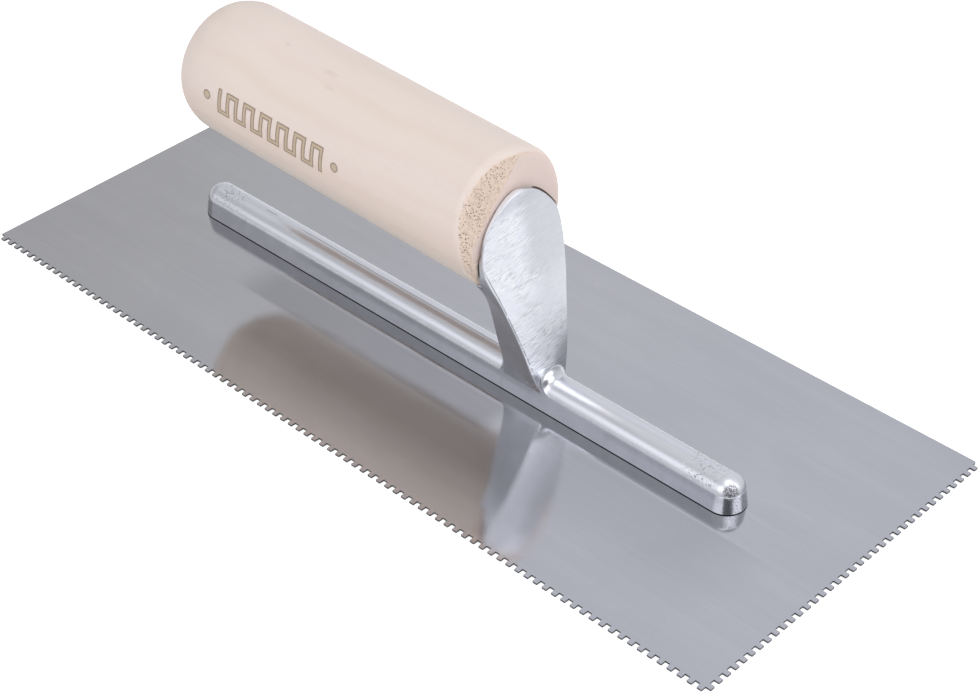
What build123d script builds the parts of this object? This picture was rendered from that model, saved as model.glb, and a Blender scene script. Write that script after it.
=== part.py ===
"""Square-notched trowel: a thin steel blade riveted under a cast aluminium
mounting, with a round wooden handle pulled onto the mounting by one long bolt.

Frame: +X along the blade towards its toothed short end (the front), +Y towards
the plain long edge, +Z up.  The origin is on the blade's underside, at the
centre of the blade's overall outline.  Millimetres.
"""
from build123d import *
import os

os.makedirs("parts", exist_ok=True)

# ---------------------------------------------------------------- dimensions
# blade
blade_length = 279.4          # plain body of the blade, 11 in
blade_width = 114.3           # 4-1/2 in
blade_thick = 0.55
notch = 1.5875                # 1/16 in: tooth width, gap width and notch depth
teeth_long = round(blade_length / (2 * notch))    # along the edge at -Y
teeth_short = round(blade_width / (2 * notch))    # along the end at +X
tooth_tip_radius = 0.15
plain_corner_radius = 0.6

# the teeth stand outside the body at -Y and +X, so the body is off centre
body_x0 = -blade_length / 2 - notch / 2
body_x1 = blade_length / 2 - notch / 2
body_y0 = -blade_width / 2 + notch / 2
body_y1 = blade_width / 2 + notch / 2

# mounting and handle share one centre plane, a little nearer the toothed edge
# than the middle of the blade's outline
mounting_y = -0.6

# mounting rib, on top of the blade
rib_half_length = 105.7
rib_base_half = 5.85          # half width where it meets the blade
rib_side_half = 5.1           # half width at the top of the drafted side
rib_side_z = 5.95
rib_top_z = 9.95
rib_base_ease = 0.25          # relief round the foot of the rib
foot_front_radius = 3.5       # shank into rib
foot_back_radius = 1.6

# rivets, blade to rib
rivet_count = 8
rivet_pitch = 27.0
rivet_shank_d = 4.0
rivet_head_d = 5.6
rivet_top_z = 5.8
rivet_end_gap = 0.2           # spare depth of the blind holes
hole_gap = 0.05               # radial clearance of rivets, bolt and spigot

rivet_xs = [(i - (rivet_count - 1) / 2) * rivet_pitch for i in range(rivet_count)]
rivet_points = [(x, mounting_y) for x in rivet_xs]
rivet_head_places = [Location((x, mounting_y, blade_thick / 2)) for x in rivet_xs]

# handle; "station" is the distance along its axis from the axis point
handle_x, handle_z = -50.79, 56.59   # the axis point
handle_slope = -0.028                # rise of the axis per mm towards +X
handle_r = 20.1
handle_seat_gap = 0.1
handle_blank_end = 85                # station of the blank before its end is cut
# rounded rear end: station, radius
handle_rear_profile = [
    (-49.5, 0), (-48.3, 5.8), (-46.5, 10.9), (-44.1, 15.4),
    (-41.4, 18.15), (-38.2, 19.55), (-33.5, handle_r),
]
# flat facets of the front end: x at the axis height, fall in x per mm of y and of z
end_face = (23.3, 0.035, 0.08)
side_facet = (26.1, -0.14, 0.272)
end_round = 3.0                      # roll-over at the rims of the facets
end_axis_z = handle_z + handle_slope * (end_face[0] - handle_x)

# spigot, bolt and washer, all on the handle's axis
spigot_r = 7.0
spigot_start = 54.0
socket_end_gap = 0.5
socket_length = 30
bolt_d = 6.0
bolt_length = 100.0
bolt_seat = -33.5             # station of the underside of the bolt's head
bolt_tip_chamfer = 0.8
bolt_end_gap = 1.5            # spare depth of the blind hole
bolt_hole_gap = 0.3           # radial clearance through the wood
head_flats = 10.0
head_height = 4.0
washer_d = 14.0
washer_thick = 1.6
washer_gap = 0.2              # radial clearance round the bolt
pocket_d = 15.5
bore_start, bore_end = -60, 80       # stations clear of both ends of the wood

# flange, the plate in front of the handle
flange_back_x = 23.85         # at the axis height, leaning back with the end face
flange_lean = 0.09
relief_back_z = 39.6          # height of the relief under the handle, at x = 0
relief_low = (21.9, 39.6)     # x and z where the relief starts to rise
relief_z = 43.2               # height where it meets the flange's flat back
flange_edge = 0.3
shoulder_r = 8.4              # raised ring round the spigot
shoulder_gap = 0.05
shoulder_start = 70
root_end = flange_back_x - handle_x + 1.0    # station inside the flange

# shank and flange sections: height, x of the back, half width at the back,
# x of the front corners, half width at the front, crown of the front face
shank = [
    (3.75, 24.1, 5.1, 40.2, 4.6, 0.2),
    (5.75, 24.0, 5.1, 38.7, 5.1, 0.3),
    (7.75, 24.0, 5.15, 37.7, 5.7, 0.5),
    (10.75, 24.0, 5.4, 36.95, 6.75, 0.7),
    (13.75, 23.8, 5.9, 36.35, 7.6, 0.8),
    (17.75, 23.3, 6.6, 35.6, 8.5, 0.9),
    (21.75, 22.8, 7.2, 34.7, 9.4, 0.9),
    (25.75, 22.5, 7.9, 33.65, 10.35, 1.0),
    (29.75, 22.4, 8.9, 32.5, 11.4, 1.0),
    (33.75, 22.9, 10.6, 31.4, 12.4, 1.1),
    (37.75, 23.1, 12.9, 30.1, 13.45, 1.2),
    (41.75, 22.6, 15.2, 28.5, 14.6, 1.2),
    (45.75, 22.0, 16.9, 27.0, 15.6, 1.2),
    (49.75, 21.0, 17.5, 26.0, 16.6, 1.2),
    (53.75, 20.0, 17.9, 25.2, 17.4, 1.2),
    (59.75, 20.0, 18.0, 24.1, 18.0, 1.2),
    (66.75, 20.0, 18.0, 23.4, 18.0, 1.2),
]
# arched outline of the flange's front face: height, half width, x of the face
arch = [
    (42.75, 15.0, 28.1), (45.75, 15.42, 26.95), (47.75, 15.48, 26.45),
    (49.75, 15.3, 26.0), (51.75, 14.85, 25.6), (53.75, 14.15, 25.2),
    (55.75, 12.9, 24.8), (57.75, 11.3, 24.4), (59.75, 9.2, 24.1),
    (61.75, 6.5, 23.8), (63.25, 3.7, 23.6), (64.15, 0.0, 23.5),
]
upper_arch = arch[4:]         # the part that is undercut
arch_foot_lean = 0.2          # y per mm of height at the outline's two feet
arch_slope = 0.45             # the trimmed outline falls towards the back, per mm
undercut = 1.0                # fall of the upper flange behind its rim, per mm
undercut_side_slope = 2.0     # lower side of the undercut's cutter
arch_plane_x = 10             # the flange's cutters are drawn here, behind it

# reach of the mounting's cutters, all well outside the metal
cut_depth = 40
cut_half = 40
relief_cut_top = 80
arch_cut_top = 90
undercut_half = 80
undercut_top = 100

# -------------------------------------------------------------------- planes
axis_point = Vector(handle_x, mounting_y, handle_z)
axis_dir = Vector(1, 0, handle_slope).normalized()
handle_axis = Axis((handle_x, mounting_y, handle_z), tuple(axis_dir))
# vertical planes seen from -Y: along the handle's axis, and along X
axial_plane = Plane(origin=(handle_x, mounting_y, handle_z), x_dir=axis_dir, z_dir=(0, -1, 0))
centre_plane = Plane(origin=(0, mounting_y, 0), x_dir=(1, 0, 0), z_dir=(0, -1, 0))


def along(station):
    """Plane square to the handle's axis."""
    return Plane(origin=axis_point + axis_dir * station, x_dir=(0, 1, 0), z_dir=axis_dir)


def across(x):
    """Plane square to X, with its own x along +Y."""
    return Plane(origin=(x, mounting_y, 0), x_dir=(0, 1, 0), z_dir=(1, 0, 0))


def facet_plane(x, fall_y, fall_z):
    """Nearly upright plane through x at the handle's axis, facing +X."""
    return Plane(origin=(x, mounting_y, end_axis_z), z_dir=(1, fall_y, fall_z))


def flange_back_at(z):
    """x of the flange's flat back at a height."""
    return flange_back_x - flange_lean * (z - end_axis_z)


# --------------------------------------------------------------------- blade
def blade_outline():
    points = [(body_x0, body_y0)]
    for i in range(teeth_long):
        x = body_x0 + notch + 2 * notch * i
        points += [(x, body_y0), (x, body_y0 - notch),
                   (x + notch, body_y0 - notch), (x + notch, body_y0)]
    for i in range(teeth_short):
        y = body_y0 + 2 * notch * i
        if i:
            points.append((body_x1, y))
        points += [(body_x1 + notch, y), (body_x1 + notch, y + notch), (body_x1, y + notch)]
    return points + [(body_x1, body_y1), (body_x0, body_y1)]


def make_blade():
    with BuildPart() as blade:
        with BuildSketch(Plane.XY):
            with BuildLine():
                Polyline(*blade_outline(), close=True)
            make_face()
        extrude(amount=blade_thick)
        # every tooth has slightly rounded outer corners
        tips = [edge for edge in blade.edges().filter_by(Axis.Z)
                if edge.center().Y < body_y0 - notch / 2
                or edge.center().X > body_x1 + notch / 2]
        fillet(tips, radius=tooth_tip_radius)
        # the two plain corners are barely eased
        plain = [edge for edge in blade.edges().filter_by(Axis.Z)
                 if edge.center().Y > body_y1 - 0.01 and abs(edge.center().X) > 100]
        fillet(plain, radius=plain_corner_radius)
        # countersunk rivet holes: the heads finish flush underneath
        with BuildSketch(Plane.XY):
            with Locations(*rivet_points):
                Circle(rivet_shank_d / 2 + hole_gap)
        extrude(amount=blade_thick, mode=Mode.SUBTRACT)
        with Locations(*rivet_head_places):
            Cone(rivet_head_d / 2 + hole_gap, rivet_shank_d / 2 + hole_gap,
                 blade_thick, mode=Mode.SUBTRACT)
    return blade.part


# -------------------------------------------------------------- blade rivets
def make_blade_rivets():
    with BuildPart() as rivets:
        with Locations(*rivet_head_places):
            Cone(rivet_head_d / 2, rivet_shank_d / 2, blade_thick)
        with BuildSketch(Plane.XY.offset(blade_thick)):
            with Locations(*rivet_points):
                Circle(rivet_shank_d / 2)
        extrude(amount=rivet_top_z - blade_thick)
    return rivets.part


# ------------------------------------------------------------------- mounting
def make_handle_space():
    """Cutter: the space that the mounting leaves free for the wood."""
    with BuildPart() as space:
        with BuildSketch(along(-10)):
            Circle(handle_r + handle_seat_gap)
        extrude(amount=110)
        split(bisect_by=facet_plane(flange_back_x, 0, flange_lean), keep=Keep.BOTTOM)
    return space.part


def make_shoulder():
    """Raised ring on the flange's back, trimmed to the handle's end face."""
    face_x, fall_y, fall_z = end_face
    with BuildPart() as shoulder:
        with BuildSketch(along(shoulder_start)):
            Circle(shoulder_r)
        extrude(amount=root_end - shoulder_start)
        split(bisect_by=facet_plane(face_x + shoulder_gap, fall_y, fall_z), keep=Keep.TOP)
    return shoulder.part


def arch_outline():
    """The whole arch, +Y foot to -Y foot, carried down its slope to arch_plane_x."""
    side = [(half, z - arch_slope * (x - arch_plane_x)) for z, half, x in arch]
    return side + [(-half, z) for half, z in reversed(side[:-1])]


def undercut_outline(hand):
    """One side of the upper arch, carried down the undercut to arch_plane_x."""
    points = []
    for z, half, x in upper_arch:
        fall = undercut * (x - flange_edge - arch_plane_x)
        points.append((hand * (half - fall), z - flange_edge * arch_slope - fall))
    return points


def make_mounting():
    handle_space = make_handle_space()
    shoulder = make_shoulder()
    with BuildPart() as mounting:
        # rib: drafted sides under a round crown, with round, domed ends
        rib_end = rib_half_length - rib_base_half
        drop = rib_top_z - rib_side_z
        crown_r = (rib_side_half ** 2 + drop ** 2) / (2 * drop)
        with BuildSketch(across(0)):
            with BuildLine():
                Polyline((-rib_side_half, rib_side_z), (-rib_base_half, blade_thick),
                         (rib_base_half, blade_thick), (rib_side_half, rib_side_z))
                ThreePointArc((rib_side_half, rib_side_z), (0, rib_top_z),
                              (-rib_side_half, rib_side_z))
            make_face()
        extrude(amount=rib_end, both=True)
        for x in (-rib_end, rib_end):
            with BuildSketch(centre_plane):
                with BuildLine():
                    Polyline((x, rib_top_z), (x, blade_thick),
                             (x + rib_base_half, blade_thick),
                             (x + rib_side_half, rib_side_z))
                    RadiusArc((x + rib_side_half, rib_side_z), (x, rib_top_z), -crown_r)
                make_face()
            revolve(axis=Axis((x, mounting_y, 0), (0, 0, 1)), revolution_arc=360)
        # shank, widening upwards into the flange
        for z, back_x, back_half, front_x, front_half, crown in shank:
            with BuildSketch(Plane.XY.offset(z)):
                with BuildLine():
                    Polyline((front_x, mounting_y + front_half), (back_x, mounting_y + back_half),
                             (back_x, mounting_y - back_half), (front_x, mounting_y - front_half))
                    ThreePointArc((front_x, mounting_y - front_half),
                                  (front_x + crown, mounting_y),
                                  (front_x, mounting_y + front_half))
                make_face()
        loft()
        # cast fillets where the shank runs into the crown of the rib
        for x_min, x_max, radius in ((37, 42, foot_front_radius), (22, 26, foot_back_radius)):
            root = [edge for edge in mounting.edges() if x_min < edge.center().X < x_max
                    and 6 < edge.center().Z < 11 and edge.length > 5
                    and abs(edge.center().Y - mounting_y) < 0.5]
            fillet(root, radius=radius)
        # the foot of the rib is eased, so that it stands on a fine dark line
        chamfer([edge for edge in mounting.edges()
                 if edge.bounding_box().max.Z < blade_thick + 0.01], rib_base_ease)
        # flat, leaning back of the flange, and the relief under the handle
        with BuildSketch(centre_plane):
            with BuildLine():
                Polyline((0, relief_back_z), relief_low, (flange_back_at(relief_z), relief_z),
                         (flange_back_at(relief_cut_top), relief_cut_top),
                         (0, relief_cut_top), close=True)
            make_face()
        extrude(amount=cut_half, both=True, mode=Mode.SUBTRACT)
        # outline of the flange: round sides and an arched top
        outline = arch_outline()
        foot_half, foot_z = outline[0]
        with BuildSketch(across(arch_plane_x)):
            with BuildLine():
                Polyline((foot_half, foot_z), (cut_half, foot_z), (cut_half, arch_cut_top),
                         (-cut_half, arch_cut_top), (-cut_half, foot_z), (-foot_half, foot_z))
                Spline(*outline, tangents=[(arch_foot_lean, 1), (arch_foot_lean, -1)])
            make_face()
        extrude(amount=cut_depth, dir=(1, 0, arch_slope), mode=Mode.SUBTRACT)
        add(handle_space, mode=Mode.SUBTRACT)
        # soft edges: the flange's arched rim, then the shank's long front corners
        rim = [edge for edge in mounting.edges()
               if (24 < edge.center().X < 27 and edge.length > 50
                   and edge.bounding_box().max.Z > 64.2)
               or (38 < edge.length < 48 and edge.center().X > 30
                   and abs(edge.center().Y - mounting_y) > 5)]
        fillet(rim, radius=flange_edge)
        # behind that rim the upper flange is undercut, so the wood shows close to it
        for hand in (-1, 1):
            points = undercut_outline(hand)
            low_y, low_z = points[0]
            top_y, top_z = points[-1]
            outer_z = low_z - undercut_side_slope * (undercut_half - abs(low_y))
            with BuildSketch(across(arch_plane_x)):
                with BuildLine():
                    Spline(*points)
                    Polyline((top_y, top_z), (top_y, undercut_top),
                             (hand * undercut_half, undercut_top),
                             (hand * undercut_half, outer_z), (low_y, low_z))
                make_face()
            extrude(amount=cut_depth, dir=(1, hand * undercut, undercut), mode=Mode.SUBTRACT)
        # shoulder that the handle is drawn against
        add(shoulder)
        # spigot that centres the handle, with the bolt's blind hole
        with BuildSketch(along(spigot_start)):
            Circle(spigot_r)
        extrude(amount=root_end - spigot_start)
        with BuildSketch(along(spigot_start)):
            Circle(bolt_d / 2 + hole_gap)
        extrude(amount=bolt_seat + bolt_length - spigot_start + bolt_end_gap,
                mode=Mode.SUBTRACT)
        # blind rivet holes
        with BuildSketch(Plane.XY.offset(blade_thick)):
            with Locations(*rivet_points):
                Circle(rivet_shank_d / 2 + hole_gap)
        extrude(amount=rivet_top_z - blade_thick + rivet_end_gap, mode=Mode.SUBTRACT)
    return mounting.part


# --------------------------------------------------------------------- handle
def make_handle():
    with BuildPart() as handle:
        with BuildSketch(axial_plane):
            with BuildLine():
                Spline(*handle_rear_profile, tangents=[(0, 1), (1, 0)])
                Polyline(handle_rear_profile[-1], (handle_blank_end, handle_r),
                         (handle_blank_end, 0), handle_rear_profile[0])
            make_face()
        revolve(axis=handle_axis, revolution_arc=360)
        for facet in (end_face, side_facet):
            split(bisect_by=facet_plane(*facet), keep=Keep.BOTTOM)
        # both facets of the end are rolled over at their rims
        end_rim = [edge for edge in handle.edges().filter_by(GeomType.ELLIPSE)
                   if edge.center().X > 0]
        fillet(end_rim, radius=end_round)
        # rear pocket for the bolt's head and washer
        with BuildSketch(along(bore_start)):
            Circle(pocket_d / 2)
        extrude(amount=bolt_seat + washer_thick - bore_start, mode=Mode.SUBTRACT)
        # bolt hole and spigot socket
        with BuildSketch(along(bore_start)):
            Circle(bolt_d / 2 + bolt_hole_gap)
        extrude(amount=bore_end - bore_start, mode=Mode.SUBTRACT)
        with BuildSketch(along(spigot_start - socket_end_gap)):
            Circle(spigot_r + hole_gap)
        extrude(amount=socket_length, mode=Mode.SUBTRACT)
    return handle.part


# ----------------------------------------------------------- bolt and washer
def make_handle_bolt():
    with BuildPart() as bolt:
        with BuildSketch(along(bolt_seat - head_height)):
            RegularPolygon(head_flats / 2, 6, major_radius=False)
        extrude(amount=head_height)
        with BuildSketch(along(bolt_seat)):
            Circle(bolt_d / 2)
        extrude(amount=bolt_length)
        tip = bolt.edges().filter_by(GeomType.CIRCLE).sort_by(Axis.X)[-1]
        chamfer(tip, bolt_tip_chamfer)
    return bolt.part


def make_handle_washer():
    with BuildPart() as washer:
        with BuildSketch(along(bolt_seat)):
            Circle(washer_d / 2)
            Circle(bolt_d / 2 + washer_gap, mode=Mode.SUBTRACT)
        extrude(amount=washer_thick)
    return washer.part


pieces = {
    "blade": make_blade,
    "blade_rivets": make_blade_rivets,
    "mounting": make_mounting,
    "handle": make_handle,
    "handle_bolt": make_handle_bolt,
    "handle_washer": make_handle_washer,
}
for name, make_piece in pieces.items():
    piece = make_piece()
    piece.label = name
    export_step(piece, f"parts/{name}.step")
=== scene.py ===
"""Notched trowel: a steel blade, a cast mounting with an upright flange, a wooden handle.

The blade lies flat on the floor with its length along X. The rib of the mounting
runs along the blade; the flange faces +X and carries the handle, which runs back
towards -X above the rib. The camera looks from +X, -Y and above.
Every CAD node keeps its mesh and gets a procedural material. Lengths in the
materials are millimetres of the row frame.
"""
import math
import bpy
from mathutils import Matrix, Vector

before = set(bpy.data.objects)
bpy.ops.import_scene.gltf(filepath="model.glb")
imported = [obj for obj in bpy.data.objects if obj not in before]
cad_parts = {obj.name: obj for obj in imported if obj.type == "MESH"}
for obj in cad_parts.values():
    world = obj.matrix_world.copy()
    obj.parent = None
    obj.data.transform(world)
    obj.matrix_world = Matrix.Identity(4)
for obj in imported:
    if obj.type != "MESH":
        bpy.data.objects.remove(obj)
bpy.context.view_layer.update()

MM_PER_M = 1000.0

# handle axis: a point on it, its forward direction and the direction up from it
AXIS_POINT = (-50.79, -0.6, 56.59)
AXIS_TILT = 0.028
AXIS_ALONG = tuple(Vector((1, 0, -AXIS_TILT)).normalized())
AXIS_UP = tuple(Vector((AXIS_TILT, 0, 1)).normalized())

# mounting
FLANGE_X = (22.8, 23.2)        # x over which the flange finish sets in
FLANGE_RIM_Z = (14.0, 46.0, 3.0)    # low, high and softness of the painted highlight and dark line along its -Y rim

# colour multiplier that changes nothing
NO_TINT = (1.0, 1.0, 1.0)


# ------------------------------------------------------------ shader helpers
# Every expression adds its nodes to this tree; start_tree() chooses it.
tree = None


def start_tree(owner):
    global tree
    owner.use_nodes = True
    tree = owner.node_tree
    tree.nodes.clear()


def start_material(name):
    made = bpy.data.materials.new(name)
    start_tree(made)
    return made


class Field:
    """A node output; arithmetic on it adds math nodes."""

    def __init__(self, socket):
        self.socket = socket

    def __add__(self, other):
        return calc("ADD", self, other)

    def __radd__(self, other):
        return calc("ADD", other, self)

    def __sub__(self, other):
        return calc("SUBTRACT", self, other)

    def __rsub__(self, other):
        return calc("SUBTRACT", other, self)

    def __mul__(self, other):
        return calc("MULTIPLY", self, other)

    def __abs__(self):
        return calc("ABSOLUTE", self)


def node(kind, inputs=None, output=0, **properties):
    """Adds a node, fills its inputs with fields or constants, returns one output."""
    made = tree.nodes.new(kind)
    for key, value in properties.items():
        setattr(made, key, value)
    for key, value in (inputs or {}).items():
        socket = made.inputs[key]
        if isinstance(value, Field):
            tree.links.new(value.socket, socket)
        elif socket.type == "RGBA":
            socket.default_value = (*value, 1.0)
        else:
            socket.default_value = value
    return Field(made.outputs[output])


def calc(operation, *values):
    return node("ShaderNodeMath", dict(enumerate(values)), operation=operation)


def greater(first, second):
    return calc("MAXIMUM", first, second)


def lesser(first, second):
    return calc("MINIMUM", first, second)


def radius(first, second):
    return calc("SQRT", first * first + second * second)


def vector_calc(operation, first, second):
    return node("ShaderNodeVectorMath", {0: first, 1: second}, operation=operation)


def scaled(vector, factor):
    return node("ShaderNodeVectorMath", {0: vector, "Scale": factor}, operation="SCALE")


def dot(first, second):
    return node("ShaderNodeVectorMath", {0: first, 1: second}, "Value",
                operation="DOT_PRODUCT")


def xyz(x, y, z):
    return node("ShaderNodeCombineXYZ", {0: x, 1: y, 2: z})


def split(vector):
    first = node("ShaderNodeSeparateXYZ", {0: vector})
    return [Field(socket) for socket in first.socket.node.outputs]


def step(value, start, end):
    """Smooth step: 0 at start, 1 at end; start may be the larger."""
    return node("ShaderNodeMapRange", {"Value": value, "From Min": start, "From Max": end},
                "Result", interpolation_type="SMOOTHSTEP", clamp=True)


def band(value, low, high, soft):
    """1 between low and high, with flanks reaching soft to either side."""
    return step(value, low - soft, low + soft) * step(value, high + soft, high - soft)


def mix(factor, first, second):
    return node("ShaderNodeMix", {"Factor": factor, 2: first, 3: second}, data_type="FLOAT")


def mix_colour(factor, first, second):
    return node("ShaderNodeMix", {"Factor": factor, 6: first, 7: second}, 2, data_type="RGBA")


def noise(where, scale=1.0, detail=2.0, rough=0.5, distort=0.0, stretch=None):
    """Noise in 0..1; stretch multiplies the coordinates axis by axis first."""
    if stretch:
        where = vector_calc("MULTIPLY", where, stretch)
    return node("ShaderNodeTexNoise",
                {"Vector": where, "Scale": scale, "Detail": detail,
                 "Roughness": rough, "Distortion": distort}, "Fac")


def cells(where, scale=1.0):
    """Distance to the nearest of a scatter of points."""
    return node("ShaderNodeTexVoronoi", {"Vector": where, "Scale": scale}, "Distance")


def bump(height, depth_mm):
    return node("ShaderNodeBump",
                {"Strength": 1.0, "Distance": depth_mm / MM_PER_M, "Height": height})


def position():
    """Row-frame position in millimetres."""
    return scaled(node("ShaderNodeTexCoord", output="Object"), MM_PER_M)


def normal():
    return node("ShaderNodeNewGeometry", output="Normal")


def handle_axes(place):
    """Distances from AXIS_POINT: along the handle, up from its axis, and towards +Y."""
    offset = vector_calc("SUBTRACT", place, AXIS_POINT)
    return dot(offset, AXIS_ALONG), dot(offset, AXIS_UP), split(offset)[1]


def output_shader(shader, kind="ShaderNodeOutputMaterial"):
    tree.links.new(shader.socket, tree.nodes.new(kind).inputs[0])


def principled(**inputs):
    output_shader(node("ShaderNodeBsdfPrincipled",
                       {key.replace("_", " "): value for key, value in inputs.items()}))


def assign(thing, look):
    thing.data.materials.clear()
    thing.data.materials.append(look)


# ---------------------------------------------------------------- blade steel
def blade_steel():
    look = start_material("blade_steel_rolled")
    place = position()
    x, y, _ = split(place)
    face = step(abs(split(normal())[2]), 0.45, 0.8)
    # rolling lines along the length, broad clouds and a few faint smears
    fine = noise(place, stretch=(0.02, 2.2, 1.0), detail=3, rough=0.6)
    wide = noise(place, stretch=(0.006, 0.16, 1.0))
    cloud = noise(place, stretch=(0.018, 0.03, 1.0), detail=3, rough=0.55, distort=0.8)
    smear = step(noise(place, stretch=(0.03, 0.12, 1.0), detail=4, rough=0.6, distort=1.5),
                 0.60, 0.78)
    tone = (0.572 + (fine - 0.5) * 0.05 + (wide - 0.5) * 0.05 + (cloud - 0.5) * 0.07
            + smear * 0.03)
    # painted shade: darker on the -Y side of the rib, strongest under the handle, where the rib
    # and handle hide part of the steel's wide reflection
    painted_shade_under_handle = band(y, -23.6, -11.9, 0.9) * step(x, -74.0, -56.0) * step(x, 36.0, 28.0)
    painted_shade_towards_end = (step(y, -11.5, -12.5) * step(y, -52.0, -14.0)
                   * step(x, 50.0, 60.0) * step(x, 128.0, 100.0))
    tone = tone * (1.0 - greater(painted_shade_under_handle * 0.26, painted_shade_towards_end * 0.14))
    # cooler towards +X and -Y
    cool = step(x - y * 0.6, -120, 130)
    steel = mix_colour(cool, (1.0, 1.0, 1.02), (0.985, 0.995, 1.06))
    edge = mix_colour(noise(place, scale=1.5, detail=3), (0.06, 0.06, 0.065), (0.20, 0.20, 0.21))
    face_rough = 0.045 + fine * 0.05 + cloud * 0.05 + smear * 0.05
    waviness = noise(place, stretch=(0.05, 0.09, 1.0), detail=1)
    principled(Base_Color=mix_colour(face, edge, scaled(steel, tone)), Metallic=1.0,
               Roughness=mix(face, 0.55, face_rough),
               Normal=bump(fine * 0.5 + waviness * 6.0, depth_mm=0.010))
    return look


# ------------------------------------------------------------ cast aluminium
# In this section side is the distance from the handle's axis plane towards +Y.
def ground_finish(place, x, y, z, side):
    """Belt-ground flange face: tone with painted light and shade on its two halves, fine scratch
    field and relief.
    """
    coarse = noise(xyz(x, y, z + y * -0.02), stretch=(0.9, 0.14, 2.7),
                   scale=1.5, detail=3, rough=0.70)
    fine = noise(xyz(x, y, z + y * -0.16), stretch=(0.9, 0.17, 2.5),
                 scale=1.9, detail=2, rough=0.65)
    ragged = noise(place, stretch=(0.1, 0.05, 0.25), detail=3, rough=0.6)
    across = side + (ragged - 0.5) * 9.0
    # painted light and shade: the -Y half lighter, the +Y half darker, most towards the top, as
    # the light falls on the face
    painted_light_and_shade = mix(step(across, -3.0, 4.0),
              mix(step(z, 30.0, 19.0), 0.92, 0.86),     # -Y half, high to low
              mix(step(z, 52.0, 24.0), 0.71, 0.87))     # +Y half, high to low
    # where the scratches are strong: patches towards -Y, and low on the +Y half
    patches = step(noise(place, stretch=(0.12, 0.12, 0.18)), 0.38, 0.62)
    scored = greater(patches * step(across, 5.0, -2.0),
                     step(z, 33.0, 21.0) * step(across, 12.0, 5.0))
    keen = mix(scored, 0.16, 1.0)
    dark = step(fine, 0.535, 0.585) * keen
    bright = step(fine, 0.465, 0.415) * keen
    tone = painted_light_and_shade + (coarse - 0.5) * keen * 0.45 + dark * -0.25 + bright * 0.14
    return tone, fine, keen * (coarse * 1.5 + fine * 1.2)


def crown_seam(place, x, z, side):
    """Thin seam on the rib's crown, edging towards -Y as x grows, broken once."""
    wander = (noise(place, stretch=(0.06, 0.0, 0.0)) - 0.5) * 0.5
    from_seam = side + step(x, -66.0, -20.0) * 0.45 + wander * 1.0
    return (band(from_seam, -0.10, 0.10, 0.10) * step(z, 10.7, 10.2)
            * greater(band(x, -64.0, 21.0, 3.0), band(x, -80.0, -75.5, 0.8)))


def nose_grit(place, x, z, side):
    """Coarse dark grain on the nose of the +X end."""
    along, up = x - 103.4, z - 7.3
    reach = calc("SQRT", along * along + up * up + (side + 2.6) * (side + 2.6))
    grain = noise(place, scale=2.6, detail=3, rough=0.8)
    return step(reach, 2.7, 1.2) * step(grain, 0.44, 0.54)


def painted_crevice_shade(x, z, side):
    """Painted shade along the foot of the rib, where it meets the blade, and in the crevice behind
    the top of the flange face.
    """
    behind = x + -23.85 + (z - 54.5) * 0.09
    upper = (step(behind, 0.75, 0.35) * step(z, 43.5, 45.5)
             * greater(step(z, 52.0, 49.0), step(side, 3.0, 5.0)))
    return greater(step(z, 0.88, 0.76), upper)


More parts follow.
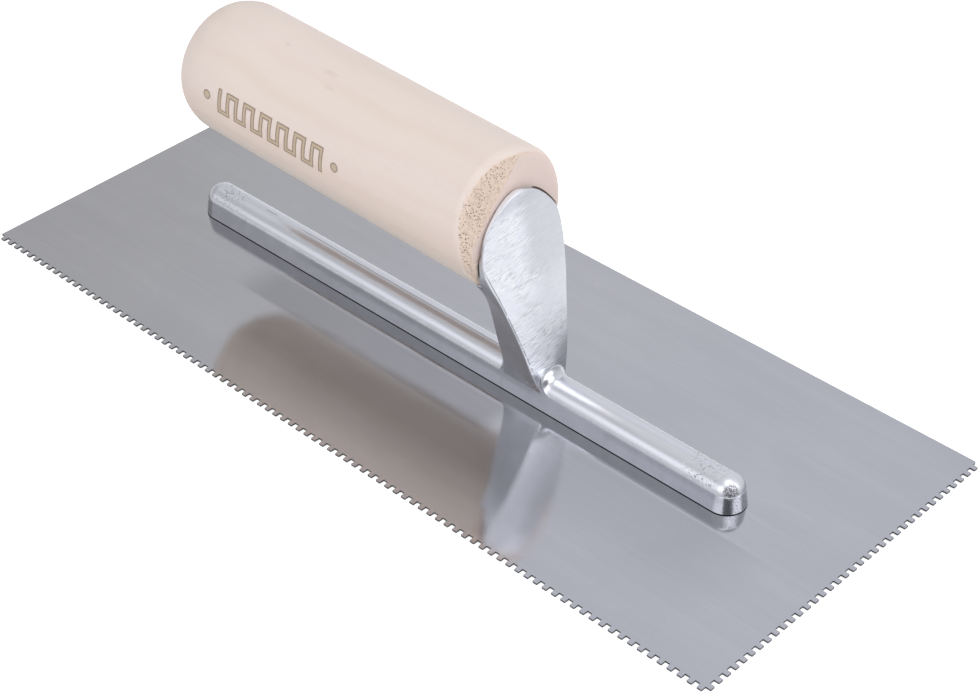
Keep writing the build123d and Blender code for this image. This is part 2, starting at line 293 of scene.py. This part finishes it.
def cast_aluminium():
    look = start_material("cast_aluminium")
    place = position()
    x, y, z = split(place)
    facing_x, _, facing_up = split(normal())
    side = y + -AXIS_POINT[1]
    # belt-ground +X face of the flange, with a duller patch low on its +Y half
    ground = step(facing_x, 0.80, 0.90) * step(z, 11.2, 13.2) * step(x, *FLANGE_X)
    patch = band(side, 1.8, 9.0, 1.6) * step(z + side * -0.5, 17.0, 12.0)
    ground_tone, scratches, ground_relief = ground_finish(place, x, y, z, side)
    # cast skin
    skin = noise(place, scale=1.7, detail=4, rough=0.6)
    skin_broad = noise(place, scale=0.16, detail=3, rough=0.55, distort=0.6)
    pits = step(cells(place, scale=0.9), 0.16, 0.05)
    # polished crown of the rib, with streaks along the length
    crown = step(facing_up, 0.35, 0.65) * step(z, 12.0, 9.5)
    streak = noise(place, stretch=(0.035, 1.3, 1.3), scale=1.3, detail=4, rough=0.65,
                   distort=0.4)
    seam = crown_seam(place, x, z, side)
    # dark specks near both ends
    ends = band(abs(x), 88.5, 99.0, 2.5) * step(facing_up, 0.3, 0.6)
    specks = ends * step(noise(place, scale=1.3, detail=4, rough=0.75), 0.56, 0.63)
    grit = nose_grit(place, x, z, side)
    specks = greater(specks, grit)
    # mottled end walls, with a painted highlight along the ridge above them
    wall = step(abs(x), 102.5, 104.0) * step(z, 6.3, 5.9) * step(facing_up, 0.4, 0.3)
    mottle = step(noise(place, scale=1.8, detail=4, rough=0.75), 0.46, 0.60)
    painted_ridge_highlight = band(z, 5.78, 6.08, 0.10) * step(abs(x), 100.5, 102.0)
    # painted shade at the foot of the rib and in the crevice behind the flange top
    crevice_shading = painted_crevice_shade(x, z, side)
    # painted highlight: a bright line along the flange's -Y rim, with a ragged dark line just
    # inside it
    inside = side + 3.64 + z * 0.2566
    ragged = noise(place, stretch=(0.3, 0.3, 0.3), detail=3, rough=0.7)
    ragged_dark_rim_line = (band(inside, 0.30, 0.62, 0.14) * ground * band(z, *FLANGE_RIM_Z)
            * step(ragged, 0.34, 0.50))
    bright = step(inside, 0.28, 0.10) * ground * band(z, *FLANGE_RIM_Z)
    # painted highlight: the flange's upper rim on the -Y side is pale and nearly non-metallic, so
    # it reads bright instead of mirroring the shaded wood
    painted_bright_rim = (step(facing_up, 0.40, 0.58) * step(facing_x, 0.80, 0.60) * step(z, 49.0, 53.0)
           * step(x, *FLANGE_X) * step(side, 2.6, 0.6))

    tone = 0.60 + (skin_broad - 0.5) * 0.18 + (skin - 0.5) * 0.12
    tone = mix(crown, tone, 0.86 + (streak - 0.5) * 0.16)
    # the ground face's tone carries painted light and shade on its two halves
    tone = mix(ground, tone, ground_tone)
    tone = mix(ground * patch, tone, 0.60)
    tone = tone * (1.0 - pits * 0.10 * (1.0 - ground))
    tone = tone * (1.0 - seam * 0.70)
    tone = tone * (1.0 - specks * 0.60) * (1.0 - grit * 0.55)
    tone = tone * (1.0 - wall * mottle * 0.35)
    # painted highlight along the ridge above the end walls
    tone = mix(painted_ridge_highlight, tone, 0.98)
    # painted highlight along the flange's -Y rim
    tone = mix(bright, tone, 0.97)
    # painted shade in the crevices, and the ragged dark line by the flange's -Y rim
    tone = tone * (1.0 - crevice_shading * 0.90) * (1.0 - ragged_dark_rim_line * 0.62)
    # painted highlight on the flange's upper -Y rim
    tone = mix(painted_bright_rim, tone, 0.90)

    # upper cast skin, crown, rib tips, ground face, a smooth foot and the painted crevice shade
    rough = 0.15 + (skin - 0.5) * 0.12
    rough = mix(step(z, 6.5, 9.0), rough, 0.30 + skin * 0.12)
    rough = mix(crown, rough, 0.17 + streak * 0.12)
    tip = step(abs(x), 99.5, 102.5) * step(z, 12.0, 10.5) * step(facing_up, 0.2, 0.4)
    rough = mix(tip, rough, 0.24 + noise(place, scale=2.2, detail=3, rough=0.7) * 0.30)
    rough = mix(ground * (1.0 - patch), rough, 0.28 + scratches * 0.16)
    foot = band(x, 36.5, 41.5, 0.8) * step(z, 8.5, 10.0) * step(z, 14.5, 12.0)
    rough = mix(foot, rough, 0.16)
    rough = mix(crevice_shading, rough, 0.7)

    height = mix(crown, skin * 0.35, skin * 0.12 + streak * 0.25)
    height = mix(ground, height, ground_relief)
    height = height - seam * 0.8
    height = height - pits * 0.25 * (1.0 - ground)
    height = height - specks * 1.2
    principled(Base_Color=scaled((0.965, 0.978, 1.035), tone), Metallic=1.0 - painted_bright_rim * 0.85,
               Roughness=rough, Normal=bump(height, depth_mm=0.035))
    return look


# ---------------------------------------------------------------------- wood
# faint brownish marks on top: along, towards +Y, half length, half width, strength
STAINS = (
    (8.5, -5.0, 4.0, 1.0, 0.22),
    (-10.6, -3.4, 1.6, 0.9, 0.25),
    (12.0, -9.0, 3.0, 0.8, 0.14),
)
STAIN_COLOUR = (0.55, 0.42, 0.30)

# burned-in mark on the -Y side: a square-wave line with a dot beyond each end
MARK_START = -26.0             # along the handle
MARK_ROUND = 28.6              # arc from the top of the handle round to the mark
MARK_ARC_RADIUS = 20.1         # turns the angle round the handle into arc length
MARK_JITTER = 0.22
WAVE_PITCH = 7.0
WAVE_HEIGHT = 3.1              # half the distance between the two levels
WAVE_SPAN = (0.5 * WAVE_PITCH, 6.5 * WAVE_PITCH)
DOT_PLACES = (-1.8, 51.0)      # from MARK_START
STROKE_HALF = 0.74
CORE_INSET = 0.36              # the darker core lies this far inside the outline


def side_grain(axes, facing_up):
    """Colour of the long surface, with its fibre and pore fields."""
    along, up, side = axes

    def grain_space(lengthwise, crosswise):
        return xyz(along * lengthwise, up * crosswise, side * crosswise)

    # slightly bent growth rings run along the handle, centred outside it
    bend = (noise(xyz(along * 0.012, 3.1, 0.0)) - 0.5) * 9.0
    ring = radius(up + bend + 34.0, side + bend * 0.6 + 22.0)
    ring = ring + noise(grain_space(0.02, 0.07), detail=3) * 5.0
    late = step(calc("PINGPONG", ring * 0.30, 1.0), 0.35, 0.95)
    fibre = noise(grain_space(0.10, 2.3), detail=4, rough=0.65)
    broad = noise(grain_space(0.014, 0.10))
    pore = step(cells(grain_space(0.22, 1.9)), 0.14, 0.04) * step(broad, 0.45, 0.60)
    colour = mix_colour(late, (0.845, 0.735, 0.652), (0.825, 0.708, 0.618))
    colour = mix_colour(step(broad, 0.35, 0.70), colour, (0.845, 0.728, 0.662))
    colour = scaled(colour, 0.985 + (fibre - 0.5) * 0.07)
    colour = mix_colour(pore * 0.30, colour, (0.50, 0.38, 0.29))
    # painted shade: darker towards the -X end, where less light reaches
    colour = scaled(colour, 1.0 - step(along, -16.0, -47.0) * 0.08)
    # painted shade and light: redder, darker lower flanks and a cooler underside, tinted by which
    # way the surface faces; and darker on the -Y side of the -X end
    for mask, tint in (
            (step(facing_up, 0.45, -0.35), (0.965, 0.915, 0.890)),
            (step(facing_up, -0.05, -0.5), (0.955, 1.01, 1.02)),
            (step(along, -44.0, -60.0) * step(side, 3.0, -12.0), (0.925, 0.885, 0.845))):
        colour = vector_calc("MULTIPLY", colour, mix_colour(mask, NO_TINT, tint))
    return colour, fibre, pore


def stain(place, axes, facing_up, along_at, side_at, half_length, half_width, strength):
    along, _, side = axes
    reach = radius((along - along_at) * (1.0 / half_length), (side - side_at) * (1.0 / half_width))
    reach = reach + (noise(place, scale=0.9, detail=3, rough=0.7) - 0.5) * 1.4
    return step(reach, 1.0, 0.2) * step(facing_up, 0.2, 0.5) * strength


def end_grain(place, axes, facing_side, facing_up):
    """Colour and relief of the +X end: a coarse tan facet, a finer one, and a painted shadow by
    the flange's top rim.
    """
    along, up, side = axes
    facet = step(facing_up * 1.0 - facing_side * 1.0, 0.08, 0.30)
    facet = greater(facet, step(up, -1.0, -9.0) * step(side, -2.0, -8.0) * 0.9)
    specks = step(noise(xyz(along * 0.3, up, side), scale=2.1, detail=4, rough=0.75), 0.56, 0.68)
    pores = step(cells(xyz(along * 0.1, up, side), scale=1.55), 0.34, 0.18)
    pale = step(cells(xyz(along * 0.1, up + 7.3, side + 2.1), scale=1.7), 0.26, 0.12)
    # the open pores lie in one band that follows the rim
    reach = radius(up, side)
    clump = (step(noise(xyz(0.0, up, side), scale=0.22, detail=3, rough=0.6), 0.36, 0.56)
             * step(reach, 12.0, 15.0) * step(side, 0.0, -4.0) * step(up, -11.0, -6.0))
    coarse = mix_colour(noise(xyz(0.0, up, side), scale=0.35, detail=3),
                        (0.835, 0.680, 0.565), (0.780, 0.605, 0.490))
    coarse = mix_colour(pale * clump * 0.75, coarse, (0.95, 0.86, 0.74))
    coarse = mix_colour(greater(pores, specks * 0.4) * (0.06 + clump * 0.94),
                        coarse, (0.200, 0.120, 0.065))
    smooth = mix_colour(noise(xyz(0.0, up, side), scale=0.9, detail=3),
                        (0.830, 0.690, 0.635), (0.790, 0.640, 0.575))
    smooth = mix_colour(specks * 0.18, smooth, (0.45, 0.32, 0.24))
    colour = mix_colour(facet, smooth, coarse)
    # painted shadow of the crevice behind the flange's top right rim: near black below a curved
    # line on the +Y half
    from_start = split(place)[1] - 7.79
    curve = 60.53 - (from_start * 0.5553 + from_start * from_start * 0.05805)
    painted_gap_shadow = (step(split(place)[2] - curve, 0.60, 0.30) * step(from_start, -1.3, 0.0)
           * step(from_start, 9.2, 8.2))
    colour = mix_colour(painted_gap_shadow * 0.93, colour, (0.045, 0.03, 0.025))
    return colour, mix(facet, specks * -0.5, greater(specks, pores) * -2.6)


def burned_mark(place, axes, end):
    """Masks of the mark: its full stroke and the core of the stroke."""
    along, up, side = axes
    arc = calc("ARCTAN2", side, up) * MARK_ARC_RADIUS
    run = along - MARK_START
    rise = arc + MARK_ROUND
    run = run + (noise(place, scale=1.2) - 0.5) * MARK_JITTER
    elsewhere = vector_calc("ADD", place, (31.0, 7.0, 3.0))
    rise = rise + (noise(elsewhere, scale=1.2) - 0.5) * MARK_JITTER
    phase = calc("FRACT", run * (1.0 / WAVE_PITCH))
    level = mix(step(phase, 0.499, 0.501), WAVE_HEIGHT, -WAVE_HEIGHT)
    to_post = lesser(lesser(phase, 1.0 - phase), abs(phase - 0.5))

    def spot(centre, inset):
        return step(radius(run - centre, rise), 1.50 - inset, 1.30 - inset)

    def stroke(inset):
        half = STROKE_HALF - inset
        flat = step(abs(rise - level), half + 0.10, half - 0.10)
        post = (step(to_post * WAVE_PITCH, half + 0.10, half - 0.10)
                * step(abs(rise), WAVE_HEIGHT + half + 0.08, WAVE_HEIGHT + half - 0.08))
        wave = greater(flat, post) * band(run, WAVE_SPAN[0] - half, WAVE_SPAN[1] + half, 0.10)
        spots = greater(*[spot(centre, inset) for centre in DOT_PLACES])
        return greater(wave, spots) * (1.0 - end) * step(side, 2.0, -2.0)

    return stroke(0.0), stroke(CORE_INSET)


def wood():
    look = start_material("pale_wood")
    place = position()
    axes = handle_axes(place)
    facing_x, facing_side, facing_up = split(normal())
    end = step(facing_x, 0.40, 0.66) * step(facing_up, 0.62, 0.42)
    colour, fibre, pore = side_grain(axes, facing_up)
    first, second, third = [stain(place, axes, facing_up, *row) for row in STAINS]
    colour = mix_colour(first + second + third, colour, STAIN_COLOUR)
    end_colour, end_relief = end_grain(place, axes, facing_side, facing_up)
    colour = mix_colour(end, colour, end_colour)
    burn, core = burned_mark(place, axes, end)
    char = mix_colour(noise(place, scale=1.1, detail=3, rough=0.6),
                      (0.50, 0.39, 0.265), (0.60, 0.48, 0.335))
    # the core blends from its own dark brown into the mottled char
    char = mix_colour(core, (0.30, 0.215, 0.14), char)
    height = mix(end, fibre * 0.45 + pore * -0.5, end_relief) - burn * 5.0
    principled(Base_Color=mix_colour(burn * 0.92, colour, char),
               Roughness=mix(end, 0.46 + fibre * 0.14, 0.80), Specular_IOR_Level=0.35,
               Sheen_Weight=0.06, Sheen_Roughness=0.5, Normal=bump(height, depth_mm=0.05))
    return look


# ------------------------------------------------------------------ hardware
def plated_steel(name, tone, radial=True):
    """Blotchy steel, turned round the handle axis or, if not radial, lined along X."""
    look = start_material(name)
    place = position()
    if radial:
        along, up, side = handle_axes(place)
        lines = noise(xyz(radius(up, side) * 3.5, along * 1.5, 0.0), detail=3, rough=0.6)
    else:
        lines = noise(place, stretch=(0.3, 3.0, 1.0), detail=3, rough=0.6)
    blotch = noise(place, scale=0.5, detail=3, rough=0.6)
    shade = tone + (blotch - 0.5) * 0.14 + (lines - 0.5) * 0.08
    tint = mix_colour(blotch, (1.0, 0.99, 0.95), (0.95, 0.98, 1.04))
    principled(Base_Color=scaled(tint, shade), Metallic=1.0, Roughness=0.24 + blotch * 0.16,
               Normal=bump(lines + blotch * 0.6, depth_mm=0.02))
    return look


for node_name, node_look in (
        ("blade", blade_steel()),
        ("mounting", cast_aluminium()),
        ("handle", wood()),
        ("handle_bolt", plated_steel("plated_bolt", tone=0.62)),
        ("handle_washer", plated_steel("plated_washer", tone=0.66)),
        ("blade_rivets", plated_steel("rivet_steel", tone=0.52, radial=False))):
    assign(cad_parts[node_name], node_look)


# --------------------------------------------------------------------- floor
FLOOR_HALF = 6.0               # metres
FLOOR_Z = -0.0003              # just under the blade


def floor_material():
    """Pale matt floor that glows more to the camera than to the scene."""
    look = start_material("studio_floor")
    tone = 0.955 + (noise(position(), scale=0.002) - 0.5) * 0.004
    diffuse = node("ShaderNodeBsdfDiffuse", {"Color": xyz(tone, tone, tone)})
    seen = node("ShaderNodeLightPath", output="Is Camera Ray")
    glow = node("ShaderNodeEmission", {"Strength": mix(seen, 0.10, 0.62)})
    output_shader(node("ShaderNodeAddShader", {0: diffuse, 1: glow}))
    return look


def build_floor():
    mesh = bpy.data.meshes.new("floor")
    corners = ((-1, -1), (1, -1), (1, 1), (-1, 1))
    mesh.from_pydata([(x * FLOOR_HALF, y * FLOOR_HALF, FLOOR_Z) for x, y in corners],
                     [], [(0, 1, 2, 3)])
    floor = bpy.data.objects.new("floor", mesh)
    bpy.context.scene.collection.objects.link(floor)
    assign(floor, floor_material())


build_floor()


# -------------------------------------------------------------- studio light
# Round patches of the room, later ones over earlier ones:
# azimuth from +X, elevation, full radius, fade-out radius (degrees), colour
ROOM_PATCHES = (
    # darker towards -X, behind the handle's rear end
    (-176, 6, 16, 44, (0.40, 0.40, 0.41)),
    (-148, 42, 4, 18, (0.51, 0.515, 0.54)),
    # the wall behind the object, as the blade mirrors it, cooler to the right
    (148, 34, 8, 26, (0.585, 0.588, 0.605)),
    (116, 42, 8, 26, (0.750, 0.760, 0.810)),
    # soft boxes: two left of the camera, one right of it, one overhead
    (-110, 22, 8, 26, (1.02, 1.03, 1.09)),
    (-86, 30, 12, 24, (1.70, 1.71, 1.75)),
    (10, 34, 14, 28, (1.95, 1.96, 2.00)),
    (-20, 72, 8, 24, (2.40, 2.40, 2.44)),
    # a dimmer patch low on the right
    (58, 8, 8, 24, (0.55, 0.56, 0.60)),
    # the dark of the room behind the camera
    (-44, 34, 12, 26, (0.20, 0.20, 0.21)),
)


def direction(azimuth, elevation):
    turn, lift = math.radians(azimuth), math.radians(elevation)
    return (math.cos(lift) * math.cos(turn), math.cos(lift) * math.sin(turn), math.sin(lift))


def build_world():
    """Grey room with its patches; camera rays see plain white instead."""
    world = bpy.data.worlds.new("studio")
    bpy.context.scene.world = world
    start_tree(world)
    ray = node("ShaderNodeTexCoord", output="Generated")
    sky = mix_colour(step(split(ray)[2], 0.85, 0.995), (0.68, 0.685, 0.71), (0.74, 0.74, 0.76))
    for azimuth, elevation, inner, outer, colour in ROOM_PATCHES:
        patch = step(dot(ray, direction(azimuth, elevation)),
                     math.cos(math.radians(outer)), math.cos(math.radians(inner)))
        sky = mix_colour(patch, sky, colour)
    room = node("ShaderNodeBackground", {"Color": sky, "Strength": 1.0})
    white = node("ShaderNodeBackground", {"Color": (1.0, 1.0, 1.0), "Strength": 1.0})
    seen = node("ShaderNodeLightPath", output="Is Camera Ray")
    output_shader(node("ShaderNodeMixShader", {0: seen, 1: room, 2: white}),
                  "ShaderNodeOutputWorld")


build_world()


# ------------------------------------------------------------------- camera
# the camera's own axes and its place (metres) in the row frame
CAMERA_RIGHT = (0.72303789, 0.69076956, -0.00732245)
CAMERA_UP = (-0.41736846, 0.44526265, 0.79217721)
CAMERA_BACK = (0.55047232, -0.56971799, 0.61024720)
CAMERA_PLACE = (0.3735809, -0.3729230, 0.4053998)


def build_camera():
    lens = bpy.data.cameras.new("camera")
    lens.sensor_fit = "HORIZONTAL"
    lens.sensor_width = 36.0
    lens.lens = 84.877
    lens.clip_start = 0.01
    lens.clip_end = 50.0
    camera = bpy.data.objects.new("camera", lens)
    bpy.context.scene.collection.objects.link(camera)
    camera.matrix_world = Matrix((*zip(CAMERA_RIGHT, CAMERA_UP, CAMERA_BACK, CAMERA_PLACE),
                                  (0, 0, 0, 1)))
    bpy.context.scene.camera = camera


build_camera()
bpy.context.scene.view_settings.view_transform = "Standard"
bpy.context.scene.view_settings.look = "None"
